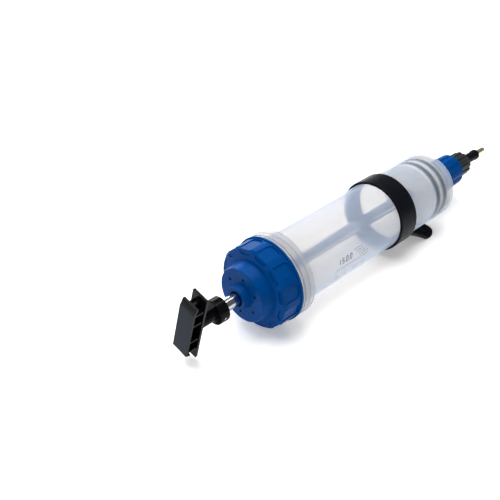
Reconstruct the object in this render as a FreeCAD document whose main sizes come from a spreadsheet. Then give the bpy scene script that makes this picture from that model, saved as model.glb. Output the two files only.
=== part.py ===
"""Hand vacuum pump: a clear barrel with a screw cap, a sealed plunger on a T-handle, and a screwed nozzle.

The pump lies on its side. +X runs from the T-handle to the nozzle tip, +Z is up, and the origin is on
the floor under the middle of its length. Stations along the barrel are measured from the cap's face,
and stations along the plunger from the T-handle's palm face. All sizes are in millimetres.
"""
import FreeCAD, Part
import Sketcher
import math
import os
from types import SimpleNamespace

DIMENSIONS = {
    # Overall places
    "grip_reach": 87,             # cap face back to the palm face of the T-handle
    "tip_reach": 499,             # cap face forward to the tip of the brass nipple
    "axis_height": 54,              # the cap's rim stands on the floor
    "joint_gap": 0.3,               # between faces of pieces that move on each other
    "running_gap": 0.05,            # radial play of a running fit
    # Barrel
    "barrel_radius": 45,
    "barrel_wall": 2.5,
    "mouth_station": 25.2,
    "mouth_radius": 46,
    "collar_station": 47.5,
    "collar_end": 65.4,
    "collar_radius": 53.5,
    "collar_web": 3.2,
    "collar_skin": 2.4,
    "collar_line_station": 49.9,
    "collar_line_width": 1.3,
    "collar_line_depth": 1,
    "faint_line_station": 57.2,
    "faint_line_width": 1,
    "faint_line_depth": 0.5,
    "barrel_end": 366,
    "end_wall": 3,
    "shoulder_round": 16,
    "neck_end": 404,
    "neck_radius": 15.5,
    "neck_bore": 5.2,
    # Rear cap
    "nose_length": 8.5,
    "nose_radius": 13.6,
    "nose_root_radius": 15.6,
    "nose_lip_bore": 9.8,
    "nose_bore": 11,
    "boss_radius": 34,
    "boss_edge": 1.2,
    "boss_root_radius": 36.8,
    "shoulder_inner_station": 16,
    "shoulder_inner_radius": 39.5,
    "shoulder_station": 18.2,
    "shoulder_radius": 49.8,
    "skirt_station": 20.6,
    "skirt_radius": 52.2,
    "skirt_end": 43.2,
    "rim_radius": 54,
    "rim_end": 46,
    "skirt_bore": 46.6,
    "cap_wall": 3.4,
    "cap_seat_station": 22.4,
    "hub_radius": 14.6,
    "hub_end": 26,
    "vent_circle": 23.2,
    "vent_radius": 1.9,
    "vent_count": 6,
    "vent_turn": 8.5,               # degrees from a grip panel's middle back to a vent hole
    "panel_count": 12,
    "panel_turn": 14.5,             # degrees from the vertical to the middle of the first grip panel
    "panel_start": 16,
    "panel_end": 41.6,
    "panel_width": 18.6,
    "panel_face": 50.4,             # height of the sunk flat panel over the axis
    "panel_corner": 5.5,
    "panel_shoulder_inner": 43.6,   # where a panel's round end starts on the cap's shoulder
    "panel_shoulder_station": 18.4,
    "panel_clearance": 6,
    # Cap seal, rod bush and rod wiper
    "cap_seal_thickness": 2.2,
    "cap_seal_inner": 42.7,
    "cap_seal_outer": 46.2,
    "bush_start": -2.6,
    "bush_end": 24.4,
    "wiper_start": -6,
    "wiper_lip_start": -4.6,
    "wiper_lip_radius": 8.6,
    # Hanging band and its foot
    "band_station": 236.2,
    "band_width": 30.6,
    "band_radius": 48.4,
    "band_edge": 1,
    "foot_start": 262,
    "foot_leaves": 279,
    "foot_lands": 316,
    "foot_end": 340,
    "foot_half_width": 20,          # also the radius of its round tip
    "foot_side": 19.5,                # from the pump's middle towards -Y to the foot's middle
    "foot_root_half_width": 11.5,
    "foot_root_side": 22.5,
    "foot_skin": 2.6,
    "foot_root_inner": 45.7,
    "foot_root_outer": 47.8,
    # Plunger rod, measured from the palm face
    "rod_radius": 8,
    "rod_bore": 6,
    "rod_start": 43.7,
    "rod_piston_end": 401.5,
    "plug_start": 373.5,
    "plug_hole_start": 379.5,
    "screw_radius": 3,
    "screw_start": 381.5,
    "screw_tip_chamfer": 1,
    "washer_radius": 9.4,
    "washer_thickness": 1.6,
    "screw_head_radius": 5.8,
    "screw_head_thickness": 4.6,
    # Piston, measured from the palm face
    "piston_station": 401.8,
    "piston_radius": 41.6,
    "piston_length": 31,
    "piston_floor": 4.5,
    "piston_hub_radius": 15,
    "piston_hub_length": 17,
    "piston_screw_bore": 3.3,
    "piston_rim_inner": 32.5,
    "seal_groove_radius": 36.5,
    "rear_seal_start": 5.3,         # from the piston's rear face
    "rear_seal_width": 7.7,
    "seal_radius": 42.3,
    "seal_waist_radius": 40.9,
    "seal_lip": 2.2,
    "front_seal_start": 20.2,
    "front_seal_waist": 41.5,
    "front_lip": 1.8,
    "cover_thickness": 3.4,
    "cover_radius": 41.2,
    "cover_bore": 12,
    # T-handle, measured from the palm face
    "handle_tilt": 14.5,            # degrees that the T-handle is turned about the rod
    "handle_half_width": 11.2,
    "palm_thickness": 2.8,
    "palm_flat_top": 33,
    "palm_top": 43.3,
    "palm_flat_bottom": 34.5,
    "palm_bottom": 37.5,
    "palm_lip": 6.5,
    "palm_bend": 3,
    "finger_station": 16,
    "finger_thickness": 3,
    "finger_half_length": 48,
    "handle_web": 3.2,
    "web_half_length": 46,
    "web_notch_station": 8.4,
    "web_notch_radius": 7.4,
    "handle_rib": 2,
    "inner_rib_height": 14,
    "outer_rib_height": 31,
    "neck_core_radius": 8.8,
    "gusset_thickness": 4.6,
    "gusset_root_half": 14.2,
    "gusset_tip_half": 14.6,
    "collar_near": 42.7,
    "collar_far": 56.4,
    "handle_collar_radius": 15.2,
    "handle_collar_edge": 1.4,
    "pin_station": 49.5,
    "pin_radius": 2.2,
    "pin_half_length": 14.6,
    # Nozzle nut
    "nut_start": 367.5,
    "nut_base_radius": 24,
    "nut_base_length": 6,
    "nut_waist_station": 396,
    "nut_waist_radius": 23.2,
    "nut_end": 413.5,
    "nut_nose_radius": 22.4,
    "nut_bore": 16.1,
    "nut_seat": 409.8,
    "nut_nose_bore": 12.8,
    "nut_flute_count": 8,
    "nut_flute_radius": 9,
    "nut_flute_depth": 1.5,
    "nut_edge": 1.2,
    # Nozzle body and its seals
    "spigot_start": 392,
    "spigot_radius": 4.7,
    "nozzle_bore": 2.5,
    "gasket_thickness": 2,
    "gasket_inner": 8,
    "gasket_outer": 14.8,
    "flange_radius": 15.4,
    "flange_end": 409.5,
    "nozzle_tube_radius": 12.3,
    "nozzle_end": 435,
    "stem_socket_start": 421.5,
    "stem_start": 424,
    "o_ring_inner": 3,
    # Stem, brass nipple, grip ring and lock ring
    "stem_radius": 7,
    "stem_collar_station": 472.5,
    "stem_collar_radius": 7.6,
    "stem_end": 477.8,
    "nipple_socket_start": 460,
    "nipple_socket_radius": 3.5,
    "nipple_collar_end": 482.5,
    "nipple_collar_radius": 4.8,
    "nipple_radius": 4,
    "nipple_edge": 1,
    "nipple_bore": 2,
    "grip_ring_length": 3.2,
    "grip_ring_radius": 11,
    "lock_start": 414.4,
    "lock_end": 441.5,
    "lock_radius": 16.9,
    "lock_bore": 12.7,
    "lock_ring_seat": 438.8,
    "lock_nose_bore": 7.5,
    "lock_edge": 1.4,
    "lock_lobe_count": 12,
    "lock_notch_radius": 2.5,
    "lock_notch_depth": 2,
}

doc = FreeCAD.newDocument("hand_vacuum_pump")


class Size:
    """A length or angle that carries its spreadsheet formula beside its value."""

    def __init__(self, value, formula):
        self.value = float(value)
        self.formula = formula

    def join(self, other, sign, value):
        return Size(value, "(%s %s %s)" % (self.formula, sign, other.formula))

    def __add__(self, other):
        other = as_size(other)
        return self.join(other, "+", self.value + other.value)

    def __sub__(self, other):
        other = as_size(other)
        return self.join(other, "-", self.value - other.value)

    def __mul__(self, other):
        other = as_size(other)
        return self.join(other, "*", self.value * other.value)

    def __truediv__(self, other):
        other = as_size(other)
        return self.join(other, "/", self.value / other.value)

    def __neg__(self):
        return Size(-self.value, "(0 - %s)" % self.formula)


def as_size(number):
    return number if isinstance(number, Size) else Size(number, repr(float(number)))


def make_sheet():
    """Write the driving dimensions to a spreadsheet and return them as Size values."""
    sheet = doc.addObject("Spreadsheet::Sheet", "Dims")
    sizes = {}
    for row, (alias, value) in enumerate(DIMENSIONS.items(), 1):
        sheet.set("A%d" % row, alias.replace("_", " "))
        sheet.set("B%d" % row, repr(value))
        sheet.setAlias("B%d" % row, alias)
        sizes[alias] = Size(value, "Dims." + alias)
    doc.recompute()
    return SimpleNamespace(**sizes)


D = make_sheet()
ZERO = as_size(0)
CAP_FACE = (D.grip_reach - D.tip_reach) / 2      # X of the cap's face
PALM_FACE = CAP_FACE - D.grip_reach              # X of the palm face
FOOT_STEPS_ACROSS = 4                            # how finely each half of the foot's outline follows the barrel
FOOT_STEPS_ALONG = 6                             # sections in the foot's flare
CUTTER_REACH = 1                                 # how far the foot's cutters reach past it
TOLERANCE = 0.01                                 # within which two places count as the same
QUARTER_TURN = 90                                # degrees
CORNER_STEPS = 4                                 # straight pieces in a grip panel's round corner


# ---------------------------------------------------------------- building blocks

def place(thing, start, turn=ZERO):
    """Put a piece on the pump's axis, with its station 0 at X = start, turned about the axis."""
    thing.Placement.Rotation.Axis = FreeCAD.Vector(1, 0, 0)
    thing.setExpression("Placement.Base.x", start.formula)
    thing.setExpression("Placement.Base.z", D.axis_height.formula)
    if turn.value:
        thing.Placement = FreeCAD.Placement(FreeCAD.Vector(start.value, 0, D.axis_height.value),
                                            FreeCAD.Rotation(FreeCAD.Vector(1, 0, 0), turn.value))
        thing.setExpression("Placement.Rotation.Angle", turn.formula)


def origin_feature(body, role):
    return [item for item in body.Origin.OriginFeatures if item.Role == role][0]


def pin_point(sketch, line, end, along, across):
    """Fix one end of a sketch line at a place bound to the spreadsheet."""
    for kind, size, axis_line in (("DistanceX", along, -2), ("DistanceY", across, -1)):
        if size.value == 0:
            sketch.addConstraint(Sketcher.Constraint("PointOnObject", line, end, axis_line))
        else:
            rule = Sketcher.Constraint(kind, -1, 1, line, end, size.value)
            index = sketch.addConstraint(rule)
            sketch.setExpression("Constraints[%d]" % index, size.formula)


def polygon_sketch(body, name, plane, outline):
    """A closed outline of straight lines on one of the body's origin planes."""
    sketch = body.newObject("Sketcher::SketchObject", name)
    sketch.AttachmentSupport = [(origin_feature(body, plane), "")]
    sketch.MapMode = "FlatFace"
    points = [FreeCAD.Vector(along.value, across.value, 0) for along, across in outline]
    count = len(points)
    for index in range(count):
        sketch.addGeometry(Part.LineSegment(points[index], points[(index + 1) % count]))
    for index in range(count):
        sketch.addConstraint(Sketcher.Constraint("Coincident", index, 2, (index + 1) % count, 1))
    for index, (along, across) in enumerate(outline):
        pin_point(sketch, index, 1, along, across)
    return sketch


def turned(label, start, outline, turn=ZERO):
    """A body turned about the pump's axis from an outline of (station, radius) corners."""
    body = doc.addObject("PartDesign::Body", label)
    body.Label = label
    sketch = polygon_sketch(body, label + "_outline", "XY_Plane", outline)
    revolution = body.newObject("PartDesign::Revolution", label + "_turning")
    revolution.Profile = sketch
    revolution.ReferenceAxis = (sketch, ["H_Axis"])
    revolution.Angle = 360
    place(body, start, turn)
    return body


def slab(label, start, outline, width, turn=ZERO):
    """A body drawn from the side, in (station, height) corners, and padded evenly both ways."""
    body = doc.addObject("PartDesign::Body", label)
    sketch = polygon_sketch(body, label + "_outline", "XZ_Plane", outline)
    pad = body.newObject("PartDesign::Pad", label + "_pad")
    pad.Profile = sketch
    pad.Midplane = True
    pad.setExpression("Length", width.formula)
    place(body, start, turn)
    return body


def round_edges(body, name, radius, wanted):
    """Round the edges of a body's last feature that the wanted test picks."""
    doc.recompute()
    base = body.Tip
    names = ["Edge%d" % (index + 1) for index, edge in enumerate(base.Shape.Edges) if wanted(edge)]
    if not names:
        raise RuntimeError("no edge to round on " + body.Label)
    fillet = body.newObject("PartDesign::Fillet", name)
    fillet.Base = (base, names)
    fillet.setExpression("Radius", radius.formula)


def ring_edge(*rings):
    """A test that picks the circular edges at the given (station, radius) places."""
    def test(edge):
        if not isinstance(edge.Curve, Part.Circle):
            return False
        station = edge.Curve.Center.x
        radius = edge.Curve.Radius
        return any(abs(station - at.value) < TOLERANCE and abs(radius - size.value) < TOLERANCE
                   for at, size in rings)
    return test


def drill_ring(body, name, circle, radius, count, turn=ZERO):
    """Cut a ring of round holes or scallops, parallel to the axis, through a turned body."""
    sketch = body.newObject("Sketcher::SketchObject", name + "_sketch")
    sketch.AttachmentSupport = [(origin_feature(body, "YZ_Plane"), "")]
    sketch.MapMode = "FlatFace"
    angle = math.radians(turn.value)
    across = Size(circle.value * math.sin(angle), "%s * sin(%s * 1 deg)" % (circle.formula, turn.formula))
    height = Size(circle.value * math.cos(angle), "%s * cos(%s * 1 deg)" % (circle.formula, turn.formula))
    centre = FreeCAD.Vector(across.value, height.value, 0)
    sketch.addGeometry(Part.Circle(centre, FreeCAD.Vector(0, 0, 1), radius.value))
    pin_point(sketch, 0, 3, across, height)
    size = sketch.addConstraint(Sketcher.Constraint("Radius", 0, radius.value))
    sketch.setExpression("Constraints[%d]" % size, radius.formula)
    pocket = body.newObject("PartDesign::Pocket", name)
    pocket.Profile = sketch
    pocket.Type = "ThroughAll"
    pocket.Midplane = True
    doc.recompute()
    repeat_round(body, pocket, name + "_ring", count)


def repeat_round(body, feature, name, count):
    """Repeat a feature evenly round the body's own X axis."""
    pattern = body.newObject("PartDesign::PolarPattern", name)
    pattern.Originals = [feature]
    pattern.Axis = (origin_feature(body, "X_Axis"), [""])
    pattern.Angle = 360
    pattern.setExpression("Occurrences", count.formula)
    body.Tip = pattern
    doc.recompute()


def joined(label, pieces):
    fused = doc.addObject("Part::MultiFuse", label)
    fused.Label = label
    fused.Shapes = pieces
    fused.Refine = True
    return fused


def cut(label, base, tool):
    result = doc.addObject("Part::Cut", label)
    result.Label = label
    result.Base = base
    result.Tool = tool
    return result


def rod_along(name, start, direction, radius, length, station, turn=ZERO, centred=False):
    """A plain cylinder along X or across the axis, used as a solid or as a cutter."""
    cylinder = doc.addObject("Part::Cylinder", name)
    cylinder.setExpression("Radius", radius.formula)
    cylinder.setExpression("Height", length.formula)
    spin = FreeCAD.Rotation(FreeCAD.Vector(1, 0, 0), turn.value)
    lay = FreeCAD.Rotation(FreeCAD.Vector(0, 0, 1), direction)
    back = spin.multVec(direction) * (length.value / 2 if centred else 0)
    base = FreeCAD.Vector(start.value + station.value, 0, D.axis_height.value)
    cylinder.Placement = FreeCAD.Placement(base - back, spin.multiply(lay))
    return cylinder


def ring(start, end, inner, outer):
    """The outline of a plain ring."""
    return [(start, inner), (end, inner), (end, outer), (start, outer)]


# ---------------------------------------------------------------- barrel and its band

def make_barrel():
    bore = D.barrel_radius - D.barrel_wall
    line_end = D.collar_line_station + D.collar_line_width
    faint_end = D.faint_line_station + D.faint_line_width
    channel = D.collar_station + D.collar_web
    body = turned("barrel", CAP_FACE, [
        (D.mouth_station, bore),
        (D.barrel_end - D.end_wall, bore),
        (D.barrel_end - D.end_wall, D.neck_bore),
        (D.neck_end, D.neck_bore),
        (D.neck_end, D.neck_radius),
        (D.barrel_end, D.neck_radius),
        (D.barrel_end, D.barrel_radius),
        (channel, D.barrel_radius),
        (channel, D.collar_radius - D.collar_skin - D.collar_line_depth),
        (D.collar_end, D.collar_radius - D.collar_skin - D.collar_line_depth),
        (D.collar_end, D.collar_radius),
        (faint_end, D.collar_radius),
        (faint_end, D.collar_radius - D.faint_line_depth),
        (D.faint_line_station, D.collar_radius - D.faint_line_depth),
        (D.faint_line_station, D.collar_radius),
        (line_end, D.collar_radius),
        (line_end, D.collar_radius - D.collar_line_depth),
        (D.collar_line_station, D.collar_radius - D.collar_line_depth),
        (D.collar_line_station, D.collar_radius),
        (D.collar_station, D.collar_radius),
        (D.collar_station, D.mouth_radius),
        (D.mouth_station, D.mouth_radius),
    ])
    round_edges(body, "barrel_shoulder", D.shoulder_round, ring_edge((D.barrel_end, D.barrel_radius)))
    round_edges(body, "barrel_shoulder_inside", D.shoulder_round - D.barrel_wall,
                ring_edge((D.barrel_end - D.end_wall, bore)))
    round_edges(body, "barrel_collar_edges", D.collar_line_depth,
                ring_edge((D.collar_end, D.collar_radius), (D.collar_station, D.collar_radius)))
    return body


def between(first, last, share):
    return first + share * (last - first)


def foot_height(share, across, root_radius, flat_height):
    """Height above the floor of the foot's skin: it hugs the barrel at share 0 and lies flat at share 1."""
    hugging = D.axis_height.value - math.sqrt(root_radius ** 2 - across ** 2)
    return between(hugging, flat_height, share)


def foot_section(station, share):
    """The outline of the foot's skin across the pump at one station."""
    half_width = between(D.foot_root_half_width.value, D.foot_half_width.value, share)
    side = between(D.foot_root_side.value, D.foot_side.value, share)
    edges = []
    rows = []
    for root_radius, flat_height in ((D.foot_root_outer.value, 0), (D.foot_root_inner.value, D.foot_skin.value)):
        points = []
        for step in range(-FOOT_STEPS_ACROSS, FOOT_STEPS_ACROSS + 1):
            across = half_width * step / FOOT_STEPS_ACROSS - side
            height = foot_height(share, across, root_radius, flat_height)
            points.append(FreeCAD.Vector(CAP_FACE.value + station, across, height))
        rows.append(points)
        curve = Part.BSplineCurve()
        curve.interpolate(points)
        edges.append(curve.toShape())
    lower, upper = rows
    right = Part.makeLine(lower[-1], upper[-1])
    left = Part.makeLine(upper[0], lower[0])
    return Part.Wire(Part.__sortEdges__([edges[0], right, edges[1], left]))


def make_foot():
    """The tongue that leaves the band low on its -Y side, flares to the floor and ends in a round tip."""
    stations = [D.foot_start.value, (D.foot_start.value + D.foot_leaves.value) / 2]
    shares = [0, 0]
    for step in range(FOOT_STEPS_ALONG + 1):
        way = step / FOOT_STEPS_ALONG
        stations.append(D.foot_leaves.value + way * (D.foot_lands.value - D.foot_leaves.value))
        shares.append(way * way * (3 - 2 * way))
    flare = Part.makeLoft([foot_section(*pair) for pair in zip(stations, shares)], True, True)
    half_width = D.foot_half_width.value
    side = D.foot_side.value
    flat = Part.makeBox(D.foot_end.value - D.foot_lands.value, 2 * half_width, D.foot_skin.value,
                        FreeCAD.Vector(CAP_FACE.value + D.foot_lands.value, -side - half_width, 0))
    centre = D.foot_end.value - half_width
    tip = Part.makeCylinder(half_width, D.axis_height.value,
                            FreeCAD.Vector(CAP_FACE.value + centre, -side, -CUTTER_REACH))
    root_start = D.foot_start.value - CUTTER_REACH
    root = Part.makeBox(centre - root_start, 2 * half_width, D.axis_height.value,
                        FreeCAD.Vector(CAP_FACE.value + root_start, -side - half_width, -CUTTER_REACH))
    foot = doc.addObject("Part::Feature", "band_foot")
    foot.Shape = flare.fuse(flat).common(root.fuse(tip))
    return foot


def make_band():
    end = D.band_station + D.band_width
    hoop = turned("band_hoop", CAP_FACE, ring(D.band_station, end, D.barrel_radius, D.band_radius))
    round_edges(hoop, "band_edges", D.band_edge,
                ring_edge((D.band_station, D.band_radius), (end, D.band_radius)))
    return joined("hanging_band", [hoop, make_foot()])


# ---------------------------------------------------------------- rear cap

def make_rear_cap():
    inner_boss = D.boss_radius - D.cap_wall
    body = turned("rear_cap", CAP_FACE, [
        (-D.nose_length, D.nose_lip_bore),
        (D.wiper_start, D.nose_lip_bore),
        (D.wiper_start, D.nose_bore),
        (D.hub_end, D.nose_bore),
        (D.hub_end, D.hub_radius),
        (D.cap_wall, D.hub_radius),
        (D.cap_wall, inner_boss),
        (D.cap_seat_station, inner_boss),
        (D.cap_seat_station, D.skirt_bore),
        (D.rim_end, D.skirt_bore),
        (D.rim_end, D.rim_radius),
        (D.skirt_end, D.rim_radius),
        (D.skirt_end, D.skirt_radius),
        (D.skirt_station, D.skirt_radius),
        (D.shoulder_station, D.shoulder_radius),
        (D.shoulder_inner_station, D.shoulder_inner_radius),
        (D.shoulder_inner_station, D.boss_root_radius),
        (ZERO, D.boss_radius),
        (ZERO, D.nose_root_radius),
        (-D.nose_length, D.nose_radius),
    ], D.panel_turn)
    round_edges(body, "boss_edge", D.boss_edge, ring_edge((ZERO, D.boss_radius)))
    round_edges(body, "rim_edges", D.boss_edge / 2,
                ring_edge((D.skirt_end, D.rim_radius), (D.rim_end, D.rim_radius)))
    drill_ring(body, "vents", D.vent_circle, D.vent_radius, D.vent_count, D.vent_turn)
    add_grip_panels(body)
    return body


def arc(along, across, radius, first):
    """The corners that stand for a quarter circle round a centre, starting at an angle in degrees."""
    points = []
    for step in range(CORNER_STEPS + 1):
        angle = math.radians(first + QUARTER_TURN * step / CORNER_STEPS)
        points.append((along + radius * math.cos(angle), across + radius * math.sin(angle)))
    return points


def add_grip_panels(body):
    """Sink a ring of flat grip panels into the skirt, each running over the shoulder to a round end."""
    half = D.panel_width / 2
    corner = D.panel_corner
    inset = half - corner
    flat = polygon_sketch(body, "panel_outline", "XY_Plane", (
        [(D.panel_start, -half)]
        + arc(D.panel_end - corner, -inset, corner, -QUARTER_TURN)
        + arc(D.panel_end - corner, inset, corner, 0)
        + [(D.panel_start, half)]))
    flat.setExpression("AttachmentOffset.Base.z", D.panel_face.formula)
    outer = D.skirt_radius + D.panel_clearance
    centre = D.panel_shoulder_inner + corner
    end = polygon_sketch(body, "panel_end_outline", "YZ_Plane", (
        arc(-inset, centre, corner, 2 * QUARTER_TURN)
        + arc(inset, centre, corner, -QUARTER_TURN)
        + [(half, outer), (-half, outer)]))
    end.setExpression("AttachmentOffset.Base.z", D.panel_shoulder_station.formula)
    for sketch, name, away in ((flat, "grip_panel", True), (end, "grip_panel_end", False)):
        pocket = body.newObject("PartDesign::Pocket", name)
        pocket.Profile = sketch
        pocket.Reversed = away
        pocket.setExpression("Length", D.panel_clearance.formula)
        doc.recompute()
        repeat_round(body, pocket, name + "_ring", D.panel_count)


def make_cap_fittings():
    seal_end = D.cap_seat_station + D.joint_gap + D.cap_seal_thickness
    seal = turned("cap_seal_ring", CAP_FACE, ring(
        D.cap_seat_station + D.joint_gap, seal_end, D.cap_seal_inner, D.cap_seal_outer))
    bush = turned("rod_bush", CAP_FACE, ring(
        D.bush_start, D.bush_end, D.rod_radius + D.running_gap, D.nose_bore))
    wiper = turned("rod_wiper", CAP_FACE, [
        (D.wiper_start, D.nose_bore),
        (D.bush_start, D.nose_bore),
        (D.bush_start, D.wiper_lip_radius + D.joint_gap),
        (D.wiper_lip_start, D.rod_radius + D.running_gap),
        (D.wiper_start, D.wiper_lip_radius),
    ])
    return [seal, bush, wiper]


# ---------------------------------------------------------------- plunger

def make_rod():
    body = turned("plunger_rod", PALM_FACE, ring(D.rod_start, D.rod_piston_end, D.rod_bore, D.rod_radius))
    return body


def make_rod_end():
    hole = D.screw_radius
    plug = turned("rod_end_plug", PALM_FACE, [
        (D.plug_start, ZERO),
        (D.plug_hole_start, ZERO),
        (D.plug_hole_start, hole),
        (D.rod_piston_end, hole),
        (D.rod_piston_end, D.rod_bore),
        (D.plug_start, D.rod_bore),
    ])
    seat = D.piston_station + D.piston_hub_length + D.joint_gap
    washer_end = seat + D.washer_thickness
    washer = turned("piston_washer", PALM_FACE, ring(seat, washer_end, D.screw_radius, D.washer_radius))
    head_end = washer_end + D.screw_head_thickness
    screw = turned("piston_screw", PALM_FACE, [
        (D.screw_start, ZERO),
        (head_end, ZERO),
        (head_end, D.screw_head_radius),
        (washer_end, D.screw_head_radius),
        (washer_end, D.screw_radius),
        (D.screw_start + D.screw_tip_chamfer, D.screw_radius),
        (D.screw_start, D.screw_radius - D.screw_tip_chamfer),
    ])
    return [plug, washer, screw]


def make_piston():
    rear = D.piston_station
    floor = rear + D.piston_floor
    front = rear + D.piston_length - D.cover_thickness
    groove = rear + D.rear_seal_start
    groove_end = groove + D.rear_seal_width
    step = rear + D.front_seal_start
    body = turned("piston_body", PALM_FACE, [
        (rear, D.piston_screw_bore),
        (rear + D.piston_hub_length, D.piston_screw_bore),
        (rear + D.piston_hub_length, D.piston_hub_radius),
        (floor, D.piston_hub_radius),
        (floor, D.piston_rim_inner),
        (front, D.piston_rim_inner),
        (front, D.seal_groove_radius),
        (step, D.seal_groove_radius),
        (step, D.piston_radius),
        (groove_end, D.piston_radius),
        (groove_end, D.seal_groove_radius),
        (groove, D.seal_groove_radius),
        (groove, D.piston_radius),
        (rear, D.piston_radius),
    ])
    cover = turned("piston_cover", PALM_FACE, ring(
        front, front + D.cover_thickness, D.cover_bore, D.cover_radius))
    rear_seal = turned("piston_seal_rear", PALM_FACE, [
        (groove, D.seal_groove_radius),
        (groove_end, D.seal_groove_radius),
        (groove_end, D.seal_waist_radius),
        (groove_end - D.seal_lip / 2, D.seal_radius),
        (groove_end - D.seal_lip, D.seal_waist_radius),
        (groove + D.seal_lip, D.seal_waist_radius),
        (groove + D.seal_lip / 2, D.seal_radius),
        (groove, D.seal_waist_radius),
    ])
    front_seal = turned("piston_seal_front", PALM_FACE, [
        (step, D.seal_groove_radius),
        (front, D.seal_groove_radius),
        (front, D.front_seal_waist),
        (front - D.front_lip, D.seal_radius),
        (step + D.front_lip, D.seal_radius),
        (step, D.front_seal_waist),
    ])
    return [body, cover, rear_seal, front_seal]


def make_handle():
    tilt = D.handle_tilt
    width = D.handle_half_width * 2
    bend_end = D.palm_bend + D.palm_thickness
    middle = D.palm_thickness / 2
    palm = slab("palm_plate", PALM_FACE, [
        (ZERO, -D.palm_flat_bottom), (D.palm_lip, -D.palm_bottom),
        (D.palm_lip, D.palm_thickness - D.palm_bottom), (D.palm_thickness, middle - D.palm_flat_bottom),
        (D.palm_thickness, D.palm_flat_top), (bend_end, D.palm_top),
        (D.palm_bend, D.palm_top), (ZERO, D.palm_flat_top)], width, tilt)
    finger_end = D.finger_station + D.finger_thickness
    finger = slab("finger_plate", PALM_FACE, [
        (D.finger_station, -D.finger_half_length), (finger_end, -D.finger_half_length),
        (finger_end, D.finger_half_length), (D.finger_station, D.finger_half_length)], width, tilt)
    web = slab("handle_web", PALM_FACE, [
        (middle, D.palm_thickness - D.palm_flat_bottom), (D.palm_lip, D.palm_thickness - D.palm_bottom),
        (D.palm_lip, -D.web_half_length), (D.finger_station, -D.web_half_length),
        (D.finger_station, D.web_half_length), (bend_end, D.web_half_length),
        (bend_end, D.palm_top), (D.palm_bend, D.palm_top), (middle, D.palm_flat_top)], D.handle_web, tilt)
    parts = [palm, finger]
    for name, height in (("upper_outer", D.outer_rib_height), ("upper_inner", D.inner_rib_height),
                         ("lower_inner", -D.inner_rib_height), ("lower_outer", -D.outer_rib_height)):
        low = height - D.handle_rib / 2
        high = height + D.handle_rib / 2
        parts.append(slab("handle_rib_" + name, PALM_FACE, [
            (D.palm_thickness / 2, low), (D.finger_station, low), (D.finger_station, high),
            (D.palm_thickness / 2, high)], width - D.handle_rib, tilt))
    parts.append(slab("upright_gusset", PALM_FACE, [
        (finger_end, -D.gusset_root_half), (D.collar_near, -D.gusset_tip_half),
        (D.collar_near, D.gusset_tip_half), (finger_end, D.gusset_root_half)], D.gusset_thickness, tilt))
    parts.append(turned("handle_core", PALM_FACE, [
        (finger_end, ZERO), (D.collar_near, ZERO), (D.collar_near, D.neck_core_radius),
        (finger_end, D.neck_core_radius)]))
    collar = turned("handle_collar", PALM_FACE, [
        (D.collar_near, ZERO), (D.collar_far, ZERO), (D.collar_far, D.handle_collar_radius),
        (D.collar_near, D.handle_collar_radius)])
    round_edges(collar, "handle_collar_edges", D.handle_collar_edge,
                ring_edge((D.collar_far, D.handle_collar_radius), (D.collar_near, D.handle_collar_radius)))
    parts.append(collar)
    return parts, web


def across_direction():
    return FreeCAD.Vector(0, 1, 0)


def make_t_handle():
    parts, web = make_handle()
    notches = []
    for name, height in (("upper", D.web_half_length), ("lower", -D.web_half_length)):
        notch = rod_along("web_notch_" + name, PALM_FACE, across_direction(), D.web_notch_radius,
                          D.handle_half_width, D.web_notch_station, D.handle_tilt, centred=True)
        lift = FreeCAD.Rotation(FreeCAD.Vector(1, 0, 0), D.handle_tilt.value).multVec(
            FreeCAD.Vector(0, 0, height.value))
        notch.Placement.Base = notch.Placement.Base + lift
        notches.append(notch)
    notched = cut("notched_web", web, joined("web_notches", notches))
    solid = joined("handle_solid", parts + [notched])
    bore = rod_along("handle_bore", PALM_FACE, FreeCAD.Vector(1, 0, 0), D.rod_radius,
                     D.collar_far - D.rod_start, D.rod_start)
    pin_hole = handle_pin_shape("handle_pin_hole", D.handle_collar_radius * 2)
    return cut("t_handle", solid, joined("handle_holes", [bore, pin_hole]))


def handle_pin_shape(name, length):
    return rod_along(name, PALM_FACE, across_direction(), D.pin_radius, length, D.pin_station,
                     D.handle_tilt, centred=True)


def make_plunger():
    rod = make_rod()
    rod.Label = "rod_tube"
    drilled = cut("plunger_rod", rod, handle_pin_shape("rod_pin_hole", D.handle_collar_radius * 2))
    pin = handle_pin_shape("handle_pin", D.pin_half_length * 2)
    pin.Label = "handle_pin"
    return [drilled, pin, make_t_handle()] + make_rod_end() + make_piston()


# ---------------------------------------------------------------- nozzle

def make_nozzle_nut():
    body = turned("nozzle_nut", CAP_FACE, [
        (D.nut_start, D.nut_bore),
        (D.nut_seat, D.nut_bore),
        (D.nut_seat, D.nut_nose_bore),
        (D.nut_end, D.nut_nose_bore),
        (D.nut_end, D.nut_nose_radius - D.nut_edge),
        (D.nut_end - D.nut_edge, D.nut_nose_radius),
        (D.nut_waist_station, D.nut_waist_radius),
        (D.nut_start + D.nut_base_length, D.nut_base_radius),
        (D.nut_start, D.nut_base_radius),
    ])
    circle = D.nut_waist_radius + D.nut_flute_radius - D.nut_flute_depth
    drill_ring(body, "nut_flutes", circle, D.nut_flute_radius, D.nut_flute_count)
    return body


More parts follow.
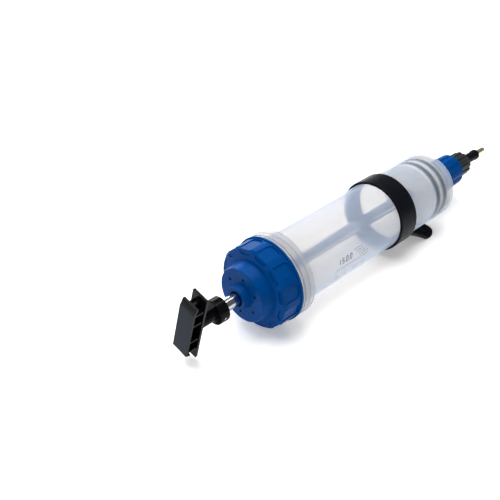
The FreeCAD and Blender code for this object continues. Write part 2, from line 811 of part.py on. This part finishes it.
def make_nozzle_body():
    gasket_start = D.neck_end + D.joint_gap
    flange_start = gasket_start + D.gasket_thickness
    body = turned("nozzle_body", CAP_FACE, [
        (D.spigot_start, D.nozzle_bore),
        (D.stem_socket_start, D.nozzle_bore),
        (D.stem_socket_start, D.stem_radius),
        (D.nozzle_end, D.stem_radius),
        (D.nozzle_end, D.nozzle_tube_radius),
        (D.flange_end, D.nozzle_tube_radius),
        (D.flange_end, D.flange_radius),
        (flange_start, D.flange_radius),
        (flange_start, D.spigot_radius),
        (D.spigot_start, D.spigot_radius),
    ])
    gasket = turned("nozzle_gasket", CAP_FACE, ring(gasket_start, flange_start, D.gasket_inner, D.gasket_outer))
    seal = turned("stem_seal_ring", CAP_FACE, ring(
        D.stem_socket_start, D.stem_start, D.o_ring_inner, D.stem_radius))
    return [body, gasket, seal]


def make_stem():
    stem = turned("nozzle_stem", CAP_FACE, [
        (D.stem_start, D.nozzle_bore),
        (D.nipple_socket_start, D.nozzle_bore),
        (D.nipple_socket_start, D.nipple_socket_radius),
        (D.stem_end, D.nipple_socket_radius),
        (D.stem_end, D.stem_collar_radius),
        (D.stem_collar_station, D.stem_collar_radius),
        (D.stem_collar_station, D.stem_radius),
        (D.stem_start, D.stem_radius),
    ])
    nipple = turned("brass_nipple", CAP_FACE, [
        (D.nipple_socket_start, D.nipple_bore),
        (D.tip_reach, D.nipple_bore),
        (D.tip_reach, D.nipple_radius - D.nipple_edge),
        (D.tip_reach - D.nipple_edge, D.nipple_radius),
        (D.nipple_collar_end, D.nipple_radius),
        (D.nipple_collar_end, D.nipple_collar_radius),
        (D.stem_end, D.nipple_collar_radius),
        (D.stem_end, D.nipple_socket_radius),
        (D.nipple_socket_start, D.nipple_socket_radius),
    ])
    return [stem, nipple]


def make_lock():
    grip_start = D.nozzle_end + D.joint_gap
    grip_end = grip_start + D.grip_ring_length
    grip = turned("grip_ring", CAP_FACE, [
        (grip_start, D.stem_radius + D.joint_gap),
        (grip_end, D.stem_radius + D.joint_gap),
        (grip_end, D.grip_ring_radius - D.grip_ring_length / 2),
        (grip_start, D.grip_ring_radius),
    ])
    lock = turned("lock_ring", CAP_FACE, [
        (D.lock_start, D.lock_bore),
        (D.lock_ring_seat, D.lock_bore),
        (D.lock_ring_seat, D.lock_nose_bore),
        (D.lock_end, D.lock_nose_bore),
        (D.lock_end, D.lock_radius),
        (D.lock_start, D.lock_radius),
    ])
    round_edges(lock, "lock_edges", D.lock_edge,
                ring_edge((D.lock_end, D.lock_radius), (D.lock_start, D.lock_radius)))
    circle = D.lock_radius + D.lock_notch_radius - D.lock_notch_depth
    drill_ring(lock, "lock_notches", circle, D.lock_notch_radius, D.lock_lobe_count)
    return [grip, lock]


# ---------------------------------------------------------------- check and write

def check_document():
    for thing in doc.Objects:
        if "Invalid" in thing.State or "Error" in thing.State:
            raise RuntimeError("%s is %s" % (thing.Name, thing.State))


def write_parts(parts):
    os.makedirs("parts", exist_ok=True)
    for part in parts:
        if part.Shape.isNull() or not part.Shape.isValid():
            raise RuntimeError("%s has no valid shape" % part.Label)
        part.Shape.exportStep("parts/%s.step" % part.Label)
        box = part.Shape.BoundBox
        print("%-20s solids %d  volume %9.0f  x %7.1f %7.1f  z %6.1f %6.1f" % (
            part.Label, len(part.Shape.Solids), part.Shape.Volume, box.XMin, box.XMax, box.ZMin, box.ZMax))


def main():
    parts = [make_barrel(), make_band(), make_rear_cap()]
    parts += make_cap_fittings()
    parts += make_plunger()
    parts.append(make_nozzle_nut())
    parts += make_nozzle_body()
    parts += make_stem()
    parts += make_lock()
    doc.recompute()
    check_document()
    write_parts(parts)


main()
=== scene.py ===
"""Looks of the hand vacuum pump: finished materials, soft edges, printed scale, floor, light and camera."""
import math

import bpy
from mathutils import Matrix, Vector


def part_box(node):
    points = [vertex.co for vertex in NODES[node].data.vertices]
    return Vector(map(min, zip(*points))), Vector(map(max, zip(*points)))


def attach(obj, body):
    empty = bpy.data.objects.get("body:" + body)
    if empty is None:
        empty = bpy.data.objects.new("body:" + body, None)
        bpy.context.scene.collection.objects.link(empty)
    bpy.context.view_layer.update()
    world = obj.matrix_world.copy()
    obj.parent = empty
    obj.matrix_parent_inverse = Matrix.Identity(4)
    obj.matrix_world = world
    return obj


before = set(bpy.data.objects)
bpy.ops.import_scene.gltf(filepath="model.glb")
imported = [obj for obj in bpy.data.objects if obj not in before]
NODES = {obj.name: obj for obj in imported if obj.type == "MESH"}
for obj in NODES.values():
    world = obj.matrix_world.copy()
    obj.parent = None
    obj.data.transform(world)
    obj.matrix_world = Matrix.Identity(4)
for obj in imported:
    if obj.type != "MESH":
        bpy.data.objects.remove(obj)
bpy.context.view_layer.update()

MM = 0.001

# Places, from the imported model. Stations run along the pump in mm from the face of its rear cap.
MOUTH_STATION = 25.2
BARREL_LOW, BARREL_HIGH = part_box("barrel")
AXIS_Z = (BARREL_LOW.z + BARREL_HIGH.z) / 2
BARREL_RADIUS = 45 * MM


def station_x(station):
    """X of a station in mm along the pump."""
    return BARREL_LOW.x + (station - MOUTH_STATION) * MM


def on_pump(station, radius, angle):
    """A point at a station in mm, a radius in metres and an angle in degrees from the top towards -Y."""
    turn = math.radians(angle)
    return Vector((station_x(station), -radius * math.sin(turn), AXIS_Z + radius * math.cos(turn)))


def new_piece(name, points, faces, material):
    """A mesh object from its points and faces."""
    mesh = bpy.data.meshes.new(name)
    mesh.from_pydata(points, [], faces)
    mesh.materials.append(material)
    piece = bpy.data.objects.new(name, mesh)
    bpy.context.scene.collection.objects.link(piece)
    return piece


# ---------------------------------------------------------------- materials

# Linear colours.
BLUE = (0.0, 0.050, 0.215)
BLACK = (0.0055, 0.006, 0.009)
GLOSS_BLACK = (0.0035, 0.0035, 0.0045)
# Greyer black of the palm face: a painted reflection on the same black plastic.
PALM_PAINTED_SHEEN_GREY = (0.012, 0.018, 0.028)
CHARCOAL = (0.020, 0.026, 0.026)
PISTON_GREY = (0.88, 0.89, 0.90)
NATURAL = (0.62, 0.62, 0.58)
# Painted shade: grey and dark films for the lines that refraction draws at the clear barrel's edges.
PAINTED_EDGE_SHADE_GREY = (0.34, 0.37, 0.42)
PAINTED_EDGE_SHADE_DARK = (0.20, 0.22, 0.25)
DARK_INK = (0.05, 0.055, 0.06)
RULE_INK = (0.14, 0.16, 0.18)
FAINT_INK = (0.16, 0.18, 0.24)

# The clear barrel: what passes through its wall, what its haze scatters, and the share of haze by how far
# the wall turns away from the viewer (0 is square on, 1 is edge on).
CLEAR_TINT = (0.99, 0.93, 0.84)
MILK = (0.66, 0.79, 1.0)
HAZE_BY_FACING = ((0.0, 0.32), (0.5, 0.36), (0.75, 0.44), (0.97, 0.8))
GLOW_SHARE = 0.78
CLEAR_IOR = 1.49

# The matt grain of the handle's palm face, and the greyer colour painted on it as sheen, fade out between
# these depths.
PALM_FADE_START, PALM_FADE_END = 0.3 * MM, 0.9 * MM
GLOSSY_ROUGHNESS, PALM_ROUGHNESS = 0.12, 0.46


class Finish:
    """A procedural material: one Principled shader and the noises that vary its colour, gloss and relief."""

    def __init__(self, name, **sockets):
        self.material = bpy.data.materials.new(name)
        self.material.use_nodes = True
        self.tree = self.material.node_tree
        self.shader = self.tree.nodes["Principled BSDF"]
        for socket, value in sockets.items():
            self.shader.inputs[socket.replace("_", " ")].default_value = value
        self.place = self.tree.nodes.new("ShaderNodeTexCoord").outputs["Object"]
        self.relief = None

    def node(self, kind, **inputs):
        """A new shader node with its inputs set or linked."""
        made = self.tree.nodes.new(kind)
        for socket, value in inputs.items():
            self.feed(made.inputs[socket.replace("_", " ")], value)
        return made

    def feed(self, socket, value):
        """Link a socket to a socket, or give it a plain value."""
        if isinstance(value, bpy.types.NodeSocket):
            self.tree.links.new(value, socket)
        else:
            socket.default_value = value

    def noise(self, scale, detail=4.0, roughness=0.55, stretch=(1, 1, 1)):
        """A noise on object coordinates. It runs long in a direction whose stretch is small."""
        mapping = self.node("ShaderNodeMapping", Vector=self.place, Scale=stretch)
        made = self.node("ShaderNodeTexNoise", Vector=mapping.outputs["Vector"],
                         Scale=scale, Detail=detail, Roughness=roughness)
        return made.outputs["Fac"]

    def ramp(self, source, *stops):
        """A colour ramp: each stop is (place, colour)."""
        made = self.node("ShaderNodeValToRGB", Fac=source)
        elements = made.color_ramp.elements
        while len(elements) < len(stops):
            elements.new(0.5)
        for element, (spot, colour) in zip(elements, stops):
            element.position = spot
            element.color = (*colour, 1)
        return made.outputs["Color"]

    def between(self, source, low, high, start=0.3, end=0.7):
        """Map a noise onto a range of values."""
        made = self.node("ShaderNodeMapRange", Value=source)
        for socket, value in (("From Min", start), ("From Max", end), ("To Min", low), ("To Max", high)):
            made.inputs[socket].default_value = value
        return made.outputs["Result"]

    def colour(self, source, dark, light, start=0.35, end=0.65):
        """Let a noise vary the colour between two shades."""
        self.feed(self.shader.inputs["Base Color"], self.ramp(source, (start, dark), (end, light)))

    def gloss(self, source, low, high):
        """Let a noise vary the roughness between two values."""
        self.feed(self.shader.inputs["Roughness"], self.between(source, low, high))

    def mix(self, share, first, second):
        """Two shaders, with the given share of the second."""
        made = self.node("ShaderNodeMixShader", Fac=share)
        self.tree.links.new(first, made.inputs[1])
        self.tree.links.new(second, made.inputs[2])
        return made.outputs[0]

    def bump(self, source, strength, depth):
        """Relief of a given depth in metres, added over any relief before it."""
        made = self.node("ShaderNodeBump", Height=source)
        made.inputs["Strength"].default_value = strength
        made.inputs["Distance"].default_value = depth
        if self.relief is not None:
            self.tree.links.new(self.relief, made.inputs["Normal"])
        self.relief = made.outputs["Normal"]
        self.feed(self.shader.inputs["Normal"], self.relief)


def shade(colour, factor):
    return tuple(part * factor for part in colour)


def moulded_relief(finish, grain):
    """Fine spark-eroded grain over the slow waves of a moulded wall."""
    finish.bump(finish.noise(2600, detail=2), grain, 0.06 * MM)
    finish.bump(finish.noise(45, detail=2), 0.25, 0.4 * MM)


def moulded_plastic(name, colour, low_gloss, high_gloss, spread=0.12, grain=0.35, **sockets):
    """Injection-moulded plastic: faint cloudy colour, fine grain and soft handling marks."""
    finish = Finish(name, **sockets)
    cloud = finish.noise(38, detail=3)
    finish.colour(cloud, shade(colour, 1 - spread), shade(colour, 1 + spread))
    marks = finish.noise(160, detail=6, roughness=0.6, stretch=(0.35, 1, 1))
    finish.gloss(marks, low_gloss, high_gloss)
    moulded_relief(finish, grain)
    return finish.material


def clear_barrel_plastic():
    """Milky clear polypropylene. It scatters blue light and lets the warmer part through, and an edge seen
    along its length looks thicker and milkier."""
    finish = Finish("clear_polypropylene", IOR=CLEAR_IOR)
    flow = finish.noise(30, detail=3, stretch=(0.12, 1, 1))
    finish.colour(flow, shade(MILK, 0.95), shade(MILK, 1.05))
    finish.gloss(finish.noise(60, detail=5, stretch=(0.2, 1, 1)), 0.14, 0.28)
    finish.bump(finish.noise(26, detail=3, stretch=(0.15, 1, 1)), 0.35, 0.6 * MM)
    finish.bump(finish.noise(900, detail=2), 0.06, 0.06 * MM)
    facing = finish.node("ShaderNodeLayerWeight", Blend=0.5).outputs["Facing"]
    haze = finish.ramp(facing, *[(share, (milk,) * 3) for share, milk in HAZE_BY_FACING])
    clear = finish.node("ShaderNodeBsdfTransparent", Color=(*CLEAR_TINT, 1))
    glow = finish.node("ShaderNodeBsdfTranslucent", Color=(*MILK, 1))
    milk = finish.mix(GLOW_SHARE, finish.shader.outputs[0], glow.outputs[0])
    surface = finish.tree.nodes["Material Output"].inputs["Surface"]
    finish.feed(surface, finish.mix(haze, clear.outputs[0], milk))
    return finish.material


def seal_rubber():
    """Matt black rubber."""
    finish = Finish("black_nitrile", Specular_IOR_Level=0.12)
    finish.colour(finish.noise(120), (0.004, 0.005, 0.007), (0.010, 0.011, 0.014))
    finish.gloss(finish.noise(300, detail=5), 0.42, 0.62)
    finish.bump(finish.noise(1800, detail=3), 0.3, 0.08 * MM)
    return finish.material


def chrome_rod():
    """Plated tube: bright, with fine drawn lines along its length."""
    finish = Finish("drawn_chrome", Metallic=1.0)
    lines = finish.noise(2400, detail=3, stretch=(0.01, 1, 1))
    finish.colour(lines, (0.40, 0.41, 0.46), (0.52, 0.53, 0.59))
    finish.gloss(finish.noise(500, detail=4, stretch=(0.03, 1, 1)), 0.08, 0.18)
    finish.bump(lines, 0.12, 0.03 * MM)
    return finish.material


def plated_steel():
    """Zinc-plated steel with an uneven bloom."""
    finish = Finish("zinc_plated_steel", Metallic=1.0)
    finish.colour(finish.noise(220, detail=5), (0.44, 0.45, 0.47), (0.60, 0.61, 0.63))
    finish.gloss(finish.noise(420, detail=5), 0.24, 0.42)
    finish.bump(finish.noise(1600, detail=3), 0.15, 0.04 * MM)
    return finish.material


def turned_brass():
    """Brass turned on a lathe: fine rings round the axis and a slightly dulled colour."""
    finish = Finish("turned_brass", Metallic=1.0)
    rings = finish.noise(3200, detail=2, stretch=(1, 0.02, 0.02))
    finish.colour(finish.noise(180, detail=4), (0.78, 0.64, 0.42), (0.92, 0.80, 0.58))
    finish.gloss(finish.noise(260, detail=5), 0.2, 0.36)
    finish.bump(rings, 0.25, 0.05 * MM)
    return finish.material


def painted_edge_shade_plastic(name, colour, strength):
    """Painted shade for clear plastic seen along a moulded edge: a grey film standing in for the line that
    refraction draws there.
    """
    finish = Finish(name, IOR=CLEAR_IOR, Alpha=strength)
    finish.colour(finish.noise(240, detail=3), shade(colour, 0.85), shade(colour, 1.15))
    finish.gloss(finish.noise(300), 0.14, 0.26)
    return finish.material


def scale_ink(name, colour, strength):
    """Thin screen-printed ink, slightly uneven in cover."""
    finish = Finish(name, Alpha=strength)
    finish.colour(finish.noise(900, detail=3), shade(colour, 0.8), shade(colour, 1.2))
    finish.gloss(finish.noise(500), 0.45, 0.6)
    return finish.material


def handle_plastic():
    """Glossy black plastic. The flat that takes the palm has a matt moulded grain; its greyer base colour
    there is a painted reflection.
    """
    finish = Finish("gloss_black_moulded", Specular_IOR_Level=0.06)
    along = finish.node("ShaderNodeSeparateXYZ", Vector=finish.place).outputs["X"]
    palm_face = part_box("t_handle")[0].x
    palm = finish.between(along, 1, 0, start=palm_face + PALM_FADE_START, end=palm_face + PALM_FADE_END)
    # The palm's greyer, bluish base colour is a painted reflection; its higher roughness is the real matt
    # grain.
    finish.feed(finish.shader.inputs["Base Color"], finish.ramp(palm, (0, GLOSS_BLACK), (1, PALM_PAINTED_SHEEN_GREY)))
    roughness = finish.between(palm, GLOSSY_ROUGHNESS, PALM_ROUGHNESS, start=0, end=1)
    finish.feed(finish.shader.inputs["Roughness"], roughness)
    moulded_relief(finish, grain=0.1)
    return finish.material


def floor_paint():
    """Pale matt paint that glows a little, so that shadows on it stay light."""
    finish = Finish("pale_floor", Specular_IOR_Level=0.2,
                    Emission_Color=(1, 1, 1, 1), Emission_Strength=0.3)
    finish.colour(finish.noise(3, detail=2), (0.93, 0.93, 0.93), (0.95, 0.95, 0.95))
    finish.gloss(finish.noise(8), 0.55, 0.7)
    return finish.material


MATERIALS = {
    "clear": clear_barrel_plastic(),
    "blue": moulded_plastic("blue_moulded", BLUE, 0.24, 0.34, spread=0.08, grain=0.2,
                            Specular_IOR_Level=0.03),
    "black": moulded_plastic("black_moulded", BLACK, 0.24, 0.38, Specular_IOR_Level=0.05),
    "gloss_black": handle_plastic(),
    "grey_black": moulded_plastic("charcoal_moulded", CHARCOAL, 0.36, 0.5, Specular_IOR_Level=0.25),
    "piston_grey": moulded_plastic("grey_moulded", PISTON_GREY, 0.38, 0.5, spread=0.05),
    "natural": moulded_plastic("natural_moulded", NATURAL, 0.36, 0.5, spread=0.05),
    "rubber": seal_rubber(),
    "chrome": chrome_rod(),
    "steel": plated_steel(),
    "brass": turned_brass(),
    # Painted shade for the grey lines at the clear barrel's edges.
    "painted_edge_shade_grey": painted_edge_shade_plastic("clear_painted_edge_shade_grey", PAINTED_EDGE_SHADE_GREY, 0.62),
    "painted_edge_shade_dark": painted_edge_shade_plastic("clear_painted_edge_shade_dark", PAINTED_EDGE_SHADE_DARK, 0.72),
    "ink": scale_ink("dark_scale_ink", DARK_INK, 0.92),
    "rule_ink": scale_ink("rule_scale_ink", RULE_INK, 0.6),
    "faint_ink": scale_ink("faint_scale_ink", FAINT_INK, 0.5),
}

NODE_FINISH = {
    "barrel": "clear", "rear_cap": "blue", "nozzle_nut": "blue",
    "hanging_band": "black", "t_handle": "gloss_black",
    "nozzle_body": "black", "nozzle_stem": "black", "lock_ring": "grey_black",
    "cap_seal_ring": "rubber", "rod_wiper": "rubber", "piston_seal_rear": "rubber",
    "piston_seal_front": "rubber", "nozzle_gasket": "rubber", "stem_seal_ring": "rubber",
    "piston_body": "piston_grey", "piston_cover": "piston_grey",
    "rod_bush": "natural", "grip_ring": "natural",
    "plunger_rod": "chrome", "rod_end_plug": "steel", "piston_washer": "steel",
    "piston_screw": "steel", "handle_pin": "steel", "brass_nipple": "brass",
}

for name, node in NODES.items():
    for place in node.material_slots:
        place.material = MATERIALS[NODE_FINISH[name]]


# ---------------------------------------------------------------- soft edges

SHARP_ANGLE = math.radians(38)
WELD_DISTANCE = 0.002 * MM
BEVEL_SEGMENTS = 2
NORMAL_WEIGHT = 60


def smooth_group():
    """Geometry nodes that shade a CAD mesh smooth, with its sharp edges marked by their angle."""
    group = bpy.data.node_groups.new("smooth_by_angle", "GeometryNodeTree")
    group.interface.new_socket("Geometry", in_out="INPUT", socket_type="NodeSocketGeometry")
    group.interface.new_socket("Geometry", in_out="OUTPUT", socket_type="NodeSocketGeometry")
    start = group.nodes.new("NodeGroupInput")
    end = group.nodes.new("NodeGroupOutput")
    angle = group.nodes.new("GeometryNodeInputMeshEdgeAngle")
    sharp = group.nodes.new("FunctionNodeCompare")
    sharp.data_type = "FLOAT"
    sharp.operation = "GREATER_THAN"
    sharp.inputs[1].default_value = SHARP_ANGLE
    normal = group.nodes.new("GeometryNodeSetMeshNormal")
    normal.mode = "SHARPNESS"
    link = group.links.new
    link(start.outputs[0], normal.inputs["Mesh"])
    link(angle.outputs["Unsigned Angle"], sharp.inputs[0])
    link(sharp.outputs[0], normal.inputs["Edge Sharpness"])
    normal.inputs["Remove Custom"].default_value = True
    link(normal.outputs["Mesh"], end.inputs[0])
    return group


SMOOTH = smooth_group()


def soften(name, width):
    """Join a CAD node's tessellated faces and round its sharp edges by a hair (width in mm), as moulding
    and turning do."""
    node = NODES[name]
    weld = node.modifiers.new("join_faces", "WELD")
    weld.merge_threshold = WELD_DISTANCE
    shading = node.modifiers.new("smooth_faces", "NODES")
    shading.node_group = SMOOTH
    bevel = node.modifiers.new("soft_edges", "BEVEL")
    bevel.width = width * MM
    bevel.segments = BEVEL_SEGMENTS
    bevel.limit_method = "ANGLE"
    bevel.angle_limit = SHARP_ANGLE
    weighted = node.modifiers.new("even_shading", "WEIGHTED_NORMAL")
    weighted.keep_sharp = True
    weighted.weight = NORMAL_WEIGHT


# Width of each node's soft edges in mm.
EDGE_WIDTHS = {
    "rear_cap": 0.45, "t_handle": 0.5, "nozzle_nut": 0.35, "lock_ring": 0.3, "hanging_band": 0.35,
    "nozzle_stem": 0.25, "nozzle_body": 0.2, "brass_nipple": 0.15, "piston_body": 0.3, "piston_cover": 0.3,
    "rod_bush": 0.2, "handle_pin": 0.2, "plunger_rod": 0.2,
}

for name, width in EDGE_WIDTHS.items():
    soften(name, width)


# ---------------------------------------------------------------- painted shade lines on the edges of the clear barrel

HOOP_TURNS = 96
HOOP_SIDES = 8

# Station, radius and width of each hoop in mm, and its finish.
BARREL_EDGES = {
    "collar_front": (65.2, 53.2, 0.55, "painted_edge_shade_grey"),
    "collar_line": (50.0, 53.1, 0.8, "painted_edge_shade_dark"),
    "collar_faint_line": (57.2, 53.3, 0.5, "painted_edge_shade_grey"),
    "collar_root": (65.6, 45.1, 0.5, "painted_edge_shade_grey"),
}


def hoop(name, station, radius, width, finish):
    """A slim round hoop on the barrel, carrying a grey film of painted shade for the thin line that
    refraction draws at a moulded edge of clear plastic.
    """
    points, faces = [], []
    for turn in range(HOOP_TURNS):
        around = 360 * turn / HOOP_TURNS
        for side in range(HOOP_SIDES):
            angle = math.tau * side / HOOP_SIDES
            reach = (radius + width / 2 * math.cos(angle)) * MM
            points.append(on_pump(station + width / 2 * math.sin(angle), reach, around))
    for turn in range(HOOP_TURNS):
        near, far = turn * HOOP_SIDES, (turn + 1) % HOOP_TURNS * HOOP_SIDES
        for side in range(HOOP_SIDES):
            after = (side + 1) % HOOP_SIDES
            faces.append((near + side, near + after, far + after, far + side))
    piece = new_piece(name, points, faces, MATERIALS[finish])
    piece.data.shade_smooth()
    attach(piece, "barrel")


# Each hoop's grey is painted shade.
for place, edge in BARREL_EDGES.items():
    hoop("barrel_painted_edge_shade_" + place, *edge)


# ---------------------------------------------------------------- printed scale

# The print is laid out in mm along the pump, and mm round the barrel from its top towards -Y.
PRINT_RADIUS = BARREL_RADIUS + 0.03 * MM
STROKE_STEP = 2

CAPACITY_ALONG, CAPACITY_ACROSS = 116, 65.5
CAPACITY_HEIGHT, CAPACITY_PITCH = 6.2, 7.1

# Each rule starts and ends further along than the one before it, and lies further round.
RULE_COUNT = 4
RULE_START, RULE_END, RULE_ACROSS = 146, 162, 57
RULE_START_STEP, RULE_END_STEP, RULE_ACROSS_STEP = 3, 3.4, 3.3

TICK_COUNT, TICK_PITCH, TICKS_PER_FIGURE = 21, 3, 5
TICK_START, TICK_ACROSS = 112, 70.5
LONG_TICK, SHORT_TICK = 7, 3.6

FIGURE_START, FIGURE_ACROSS = 113, 86
FIGURE_HEIGHT, FIGURE_PITCH = 6, 5


def wrapped(name, points, faces, finish):
    """A flat drawing laid on the barrel."""
    spots = [on_pump(along, PRINT_RADIUS, math.degrees(across * MM / BARREL_RADIUS))
             for along, across in points]
    piece = new_piece(name, spots, faces, MATERIALS[finish])
    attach(piece, "barrel")


def strokes(name, lines, width, finish):
    """Straight printed strokes, each (along, across, along, across), in short steps that follow the wall."""
    points, faces = [], []
    for along_a, across_a, along_b, across_b in lines:
        way = Vector((along_b - along_a, across_b - across_a)).normalized()
        side = Vector((-way.y, way.x)) * width / 2
        length = math.hypot(along_b - along_a, across_b - across_a)
        steps = max(1, round(length / STROKE_STEP))
        first = len(points)
        for step in range(steps + 1):
            spot = Vector((along_a, across_a)).lerp(Vector((along_b, across_b)), step / steps)
            points += [tuple(spot - side), tuple(spot + side)]
        for step in range(steps):
            corner = first + 2 * step
            faces.append((corner, corner + 1, corner + 3, corner + 2))
    wrapped(name, points, faces, finish)


# Seven-stroke figures on a 1 x 2 cell: each stroke by its two corners.
STROKES = {
    "top": (0, 2, 1, 2), "middle": (0, 1, 1, 1), "bottom": (0, 0, 1, 0),
    "upper_left": (0, 1, 0, 2), "upper_right": (1, 1, 1, 2),
    "lower_left": (0, 0, 0, 1), "lower_right": (1, 0, 1, 1),
}
FIGURES = {
    "0": ("top", "bottom", "upper_left", "upper_right", "lower_left", "lower_right"),
    "1": ("upper_right", "lower_right"),
    "5": ("top", "upper_left", "middle", "lower_right", "bottom"),
}
SLANT = 0.22


def figure_lines(text, along, across, height, pitch):
    """Strokes of a number that reads along the pump, its top towards the top of the barrel."""
    cell = height / 2
    lines = []
    for index, figure in enumerate(text):
        start = along + index * pitch
        for stroke in FIGURES[figure]:
            left, low, right, high = STROKES[stroke]
            lines.append((start + (left + SLANT * low) * cell, across - low * cell,
                          start + (right + SLANT * high) * cell, across - high * cell))
    return lines


def printed_rules():
    """The stepped block of ruled lines."""
    rules = []
    for row in range(RULE_COUNT):
        across = RULE_ACROSS + row * RULE_ACROSS_STEP
        rules.append((RULE_START + row * RULE_START_STEP, across, RULE_END + row * RULE_END_STEP, across))
    return rules


def printed_ticks():
    """The graduation: a base line with a longer tick at every figure."""
    ticks = []
    for index in range(TICK_COUNT):
        along = TICK_START + index * TICK_PITCH
        length = SHORT_TICK if index % TICKS_PER_FIGURE else LONG_TICK
        ticks.append((along, TICK_ACROSS, along, TICK_ACROSS + length))
    end = TICK_START + (TICK_COUNT - 1) * TICK_PITCH
    return ticks + [(TICK_START, TICK_ACROSS, end, TICK_ACROSS)]


def printed_figures():
    """The small numbers under the graduation."""
    figures = []
    for index, text in enumerate(("0", "5", "10", "15")):
        along = FIGURE_START + index * TICKS_PER_FIGURE * TICK_PITCH
        figures += figure_lines(text, along, FIGURE_ACROSS, FIGURE_HEIGHT, FIGURE_PITCH)
    return figures


capacity = figure_lines("1500", CAPACITY_ALONG, CAPACITY_ACROSS, CAPACITY_HEIGHT, CAPACITY_PITCH)
strokes("scale_capacity", capacity, 1.3, "ink")
strokes("scale_rules", printed_rules(), 0.9, "rule_ink")
strokes("scale_ticks", printed_ticks(), 0.7, "faint_ink")
strokes("scale_figures", printed_figures(), 0.8, "faint_ink")


# ---------------------------------------------------------------- floor, light and camera

FLOOR_HALF = 4.0
SKY_STRENGTH = 0.19

# Place, aim, size and power of each soft box, in metres and watts.
SOFT_BOXES = {
    "top": ((-0.1, 0.3, 1.9), (0, 0, 0), (1.9, 1.7), 50),
    "left": ((-1.6, -0.5, 0.9), (-0.2, 0, 0.05), (0.8, 0.8), 3.5),
    "back": ((0.3, 1.7, 0.8), (0, 0, 0.05), (2.2, 0.9), 30),
}


def make_floor():
    half = FLOOR_HALF
    corners = [(-half, -half, 0), (half, -half, 0), (half, half, 0), (-half, half, 0)]
    floor = new_piece("floor", corners, [(0, 1, 2, 3)], floor_paint())


def soft_box(name, place, aim, size, power):
    lamp = bpy.data.lights.new(name, "AREA")
    lamp.shape = "RECTANGLE"
    lamp.size, lamp.size_y = size
    lamp.energy = power
    box = bpy.data.objects.new(name, lamp)
    box.location = place
    box.rotation_euler = (Vector(aim) - Vector(place)).to_track_quat("-Z", "Y").to_euler()
    bpy.context.scene.collection.objects.link(box)


def make_light():
    world = bpy.data.worlds.new("white_studio")
    world.use_nodes = True
    sky = world.node_tree.nodes["Background"]
    sky.inputs["Color"].default_value = (1, 1, 1, 1)
    sky.inputs["Strength"].default_value = SKY_STRENGTH
    bpy.context.scene.world = world
    for name, setting in SOFT_BOXES.items():
        soft_box(name, *setting)


# Degrees, metres, and millimetres for the lens and the sensor.
CAMERA_AZIMUTH = -44.344
CAMERA_ELEVATION = 35.326
CAMERA_DISTANCE = 0.974
CAMERA_LENS = 57.21
CAMERA_SENSOR = 36
CAMERA_AIM = Vector((station_x(69.68), 0.0573, AXIS_Z))


def make_camera():
    data = bpy.data.cameras.new("photograph_view")
    data.lens = CAMERA_LENS
    data.sensor_width = CAMERA_SENSOR
    camera = bpy.data.objects.new("photograph_view", data)
    turn, rise = math.radians(CAMERA_AZIMUTH), math.radians(CAMERA_ELEVATION)
    back = Vector((math.sin(turn) * math.cos(rise), -math.cos(turn) * math.cos(rise), math.sin(rise)))
    camera.location = CAMERA_AIM + back * CAMERA_DISTANCE
    camera.rotation_euler = (-back).to_track_quat("-Z", "Y").to_euler()
    bpy.context.scene.collection.objects.link(camera)
    bpy.context.scene.camera = camera


# A ray may cross this many clear walls, hoops and printed strokes.
CLEAR_LAYERS = 32

make_floor()
make_light()
make_camera()
scene = bpy.context.scene
scene.view_settings.view_transform = "Standard"
scene.cycles.transparent_max_bounces = CLEAR_LAYERS
